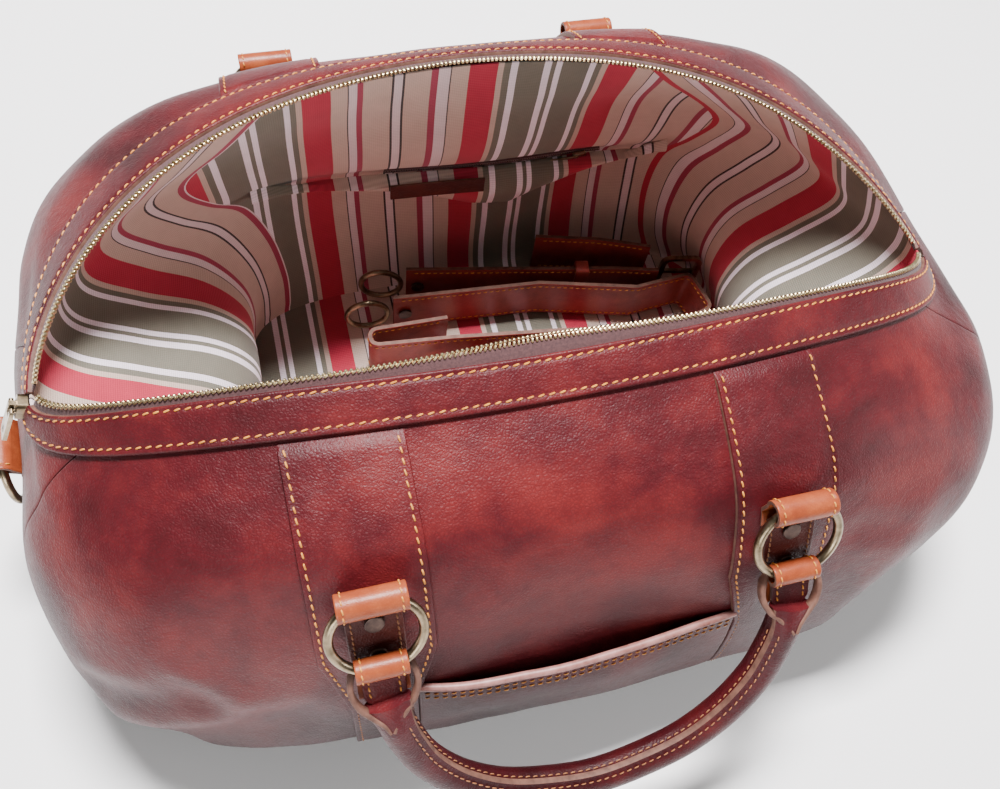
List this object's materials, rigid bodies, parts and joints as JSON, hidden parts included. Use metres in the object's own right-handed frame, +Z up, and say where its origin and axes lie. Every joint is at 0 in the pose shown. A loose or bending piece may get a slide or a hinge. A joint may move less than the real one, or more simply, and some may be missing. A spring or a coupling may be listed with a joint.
{
  "type": "weekender bag",
  "caption": "Open leather weekender bag with ring-hung rolled handles, zip mouth, striped lining, slip pocket and a shoulder strap inside.",
  "frame": {"origin": "centre of the flat base, on the surface the bag stands on", "axes": "+X along the length, -Y towards the front with the slip pocket, +Z up"},
  "size_m": [0.5863, 0.4567, 0.2334],
  "materials": {
    "body_leather": "semi-gloss pull-up leather, cognac brown",
    "tan_leather": "smooth tan leather",
    "strap_leather": "smooth brown leather",
    "striped_lining": "striped woven cotton",
    "zip_tape": "woven tape",
    "zip_brass": "worn brass",
    "antique_metal": "antique brass",
    "stiffener_board": "fibre board"
  },
  "bodies": {
    "root": {"base_board": "stiffener_board", "base_panel": "body_leather", "end_chape_rivets": "antique_metal", "front_chape_left": "tan_leather", "front_chape_right": "tan_leather", "front_chape_rivets": "antique_metal", "front_panel": "body_leather", "front_pocket": "body_leather", "front_strap_left": "body_leather", "front_strap_right": "body_leather", "front_zip_band": "body_leather", "front_zip_tape": "zip_tape", "front_zip_teeth": "zip_brass", "inner_pocket_welt": "zip_tape", "inner_pocket_zip": "zip_brass", "left_end_chape": "tan_leather", "left_end_panel": "body_leather", "lining_base": "striped_lining", "lining_front": "striped_lining", "lining_left_end": "striped_lining", "lining_rear": "striped_lining", "lining_right_end": "striped_lining", "rear_chape_left": "tan_leather", "rear_chape_right": "tan_leather", "rear_chape_rivets": "antique_metal", "rear_panel": "body_leather", "rear_strap_left": "body_leather", "rear_strap_right": "body_leather", "rear_zip_band": "body_leather", "rear_zip_tape": "zip_tape", "rear_zip_teeth": "zip_brass", "right_end_chape": "tan_leather", "right_end_panel": "body_leather"},
    "front_ring_left": {"front_ring_left": "antique_metal"},
    "front_ring_right": {"front_ring_right": "antique_metal"},
    "front_handle": {"front_handle": "body_leather", "front_handle_tab_left": "tan_leather", "front_handle_tab_right": "tan_leather", "front_handle_rivets": "antique_metal"},
    "rear_ring_left": {"rear_ring_left": "antique_metal"},
    "rear_ring_right": {"rear_ring_right": "antique_metal"},
    "rear_handle": {"rear_handle": "body_leather", "rear_handle_tab_left": "tan_leather", "rear_handle_tab_right": "tan_leather", "rear_handle_rivets": "antique_metal"},
    "left_end_ring": {"left_end_ring": "antique_metal"},
    "right_end_ring": {"right_end_ring": "antique_metal"},
    "zip_slider": {"zip_slider": "antique_metal"},
    "zip_pull": {"zip_pull": "antique_metal"},
    "inner_pocket_slider": {"inner_pocket_slider": "zip_brass"},
    "strap_ring_a": {"strap_ring_a": "antique_metal"},
    "strap_ring_b": {"strap_ring_b": "antique_metal"},
    "buckle_prong": {"buckle_prong": "antique_metal"},
    "shoulder_strap": {"shoulder_strap_long": "strap_leather", "shoulder_strap_short": "strap_leather", "shoulder_strap_tail": "strap_leather", "shoulder_pad": "strap_leather", "strap_buckle": "antique_metal", "strap_keeper": "strap_leather", "strap_rivets": "antique_metal"}
  },
  "joints": [
    {"name": "front_ring_left_swing", "type": "hinge", "parent": "root", "child": "front_ring_left", "pos_m": [-0.101, -0.16223, 0.19407], "axis": [-1, 0, 0], "range_deg": [0, 100]},
    {"name": "front_ring_right_swing", "type": "hinge", "parent": "root", "child": "front_ring_right", "pos_m": [0.101, -0.16223, 0.19407], "axis": [-1, 0, 0], "range_deg": [0, 100]},
    {"name": "front_handle_swing", "type": "hinge", "parent": "front_ring_left", "child": "front_handle", "pos_m": [0, -0.18126, 0.16292], "axis": [-1, 0, 0], "range_deg": [0, 70]},
    {"name": "rear_ring_left_swing", "type": "hinge", "parent": "root", "child": "rear_ring_left", "pos_m": [-0.101, 0.17942, 0.17174], "axis": [1, 0, 0], "range_deg": [0, 100]},
    {"name": "rear_ring_right_swing", "type": "hinge", "parent": "root", "child": "rear_ring_right", "pos_m": [0.101, 0.17942, 0.17174], "axis": [1, 0, 0], "range_deg": [0, 100]},
    {"name": "rear_handle_swing", "type": "hinge", "parent": "rear_ring_left", "child": "rear_handle", "pos_m": [0, 0.17885, 0.13524], "axis": [1, 0, 0], "range_deg": [0, 70]},
    {"name": "left_end_ring_swing", "type": "hinge", "parent": "root", "child": "left_end_ring", "pos_m": [-0.27339, -0.01282, 0.10863], "axis": [0, 1, 0], "range_deg": [0, 100]},
    {"name": "right_end_ring_swing", "type": "hinge", "parent": "root", "child": "right_end_ring", "pos_m": [0.29492, -0.01282, 0.10636], "axis": [0, -1, 0], "range_deg": [0, 100]},
    {"name": "zip_slider_slide", "type": "slide", "parent": "root", "child": "zip_slider", "axis": [0.4259, 0, 0.9048], "range_m": [0, 0.008]},
    {"name": "zip_pull_swing", "type": "hinge", "parent": "zip_slider", "child": "zip_pull", "pos_m": [-0.24646, -0.02805, 0.17745], "axis": [0, 1, 0], "range_deg": [0, 110]},
    {"name": "inner_pocket_slider_slide", "type": "slide", "parent": "root", "child": "inner_pocket_slider", "axis": [0.9999, -0.014, -0.001], "range_m": [-0.1, 0]},
    {"name": "shoulder_strap_lift", "type": "slide", "parent": "root", "child": "shoulder_strap", "axis": [0, 0, 1], "range_m": [0, 0.1]},
    {"name": "strap_ring_a_swing", "type": "hinge", "parent": "shoulder_strap", "child": "strap_ring_a", "pos_m": [-0.03419, 0.10641, 0.029], "axis": [0, 0, 1], "range_deg": [-12, 25]},
    {"name": "strap_ring_b_swing", "type": "hinge", "parent": "shoulder_strap", "child": "strap_ring_b", "pos_m": [-0.04802, 0.0843, 0.029], "axis": [0, 0, 1], "range_deg": [-25, 25]},
    {"name": "buckle_prong_swing", "type": "hinge", "parent": "shoulder_strap", "child": "buckle_prong", "pos_m": [0.15546, 0.08279, 0.03], "axis": [0, 0, 1], "range_deg": [0, 60]}
  ],
  "couplings": [
    {"joint": "front_ring_right_swing", "follows": "front_ring_left_swing", "ratio": 1},
    {"joint": "rear_ring_right_swing", "follows": "rear_ring_left_swing", "ratio": 1}
  ]
}
